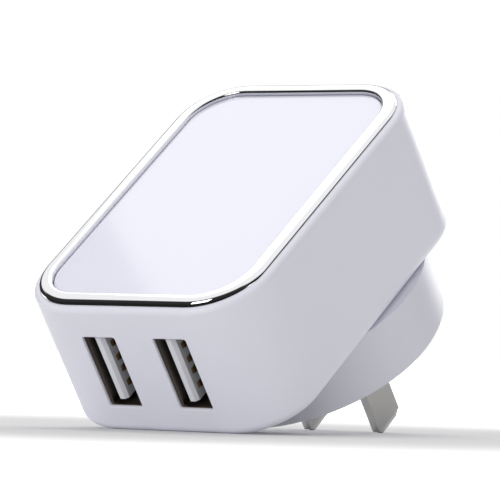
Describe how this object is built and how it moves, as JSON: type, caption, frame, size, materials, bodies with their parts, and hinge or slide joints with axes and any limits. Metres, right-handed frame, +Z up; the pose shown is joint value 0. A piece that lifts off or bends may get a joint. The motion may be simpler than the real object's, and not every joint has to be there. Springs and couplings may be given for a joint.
{
  "type": "usb wall charger",
  "caption": "Plug-in mains charger: tall rounded housing with USB-A sockets in its lower end, a bright-ringed glossy face and a round base with parallel flat blades.",
  "frame": {"origin": "Bottom centre of the box round the charger as it lies on a table, on the lower edge of its socket end and its two blade tips.", "axes": "+Z up from the table, +X across the charger, +Y from the socket end towards the plug. The housing's long axis rises from the table at 37 degrees towards +Y, and its glossy face looks up and towards -Y."},
  "size_m": [0.0432, 0.0646, 0.0525],
  "materials": {
    "housing_plastic": "fine satin moulded white",
    "inner_plastic": "plain moulded white, unseen",
    "face_gloss": "polished white panel",
    "ring_chrome": "bright plated",
    "plug_plastic": "fine satin moulded white",
    "blade_nickel": "nickel-plated brass",
    "board_laminate": "green solder mask",
    "shell_steel": "nickel-plated steel sheet",
    "tongue_plastic": "moulded insulator",
    "contact_gold": "flash-plated contacts",
    "ferrite": "sintered ferrite",
    "bobbin_plastic": "moulded phenolic",
    "winding_tape": "yellow insulating tape",
    "can_sleeve_dark": "shrunk sleeve",
    "can_sleeve_green": "shrunk sleeve",
    "enamelled_copper": "enamelled wire",
    "resistor_coat": "painted coat",
    "disc_coat": "dipped coat",
    "chip_epoxy": "moulded epoxy",
    "chip_ceramic": "fired ceramic"
  },
  "bodies": {
    "root": {"housing": "housing_plastic", "front_cover": "inner_plastic", "face_plate": "face_gloss", "trim_ring": "ring_chrome", "plug_base": "plug_plastic", "blade_left": "blade_nickel", "blade_right": "blade_nickel", "circuit_board": "board_laminate", "usb_shell_left": "shell_steel", "usb_shell_right": "shell_steel", "usb_tongue_left": "tongue_plastic", "usb_tongue_right": "tongue_plastic", "usb_contacts_left": "contact_gold", "usb_contacts_right": "contact_gold", "transformer_core": "ferrite", "transformer_bobbin": "bobbin_plastic", "transformer_winding": "winding_tape", "bulk_capacitor_front": "can_sleeve_dark", "bulk_capacitor_rear": "can_sleeve_dark", "output_capacitor_left": "can_sleeve_green", "output_capacitor_right": "can_sleeve_green", "input_choke": "ferrite", "choke_winding": "enamelled_copper", "fuse_resistor": "resistor_coat", "interference_capacitor": "disc_coat", "bridge_rectifier": "chip_epoxy", "controller_chip": "chip_epoxy", "output_diode": "chip_epoxy", "optocoupler": "chip_epoxy", "chip_parts": "chip_ceramic"}
  },
  "joints": []
}
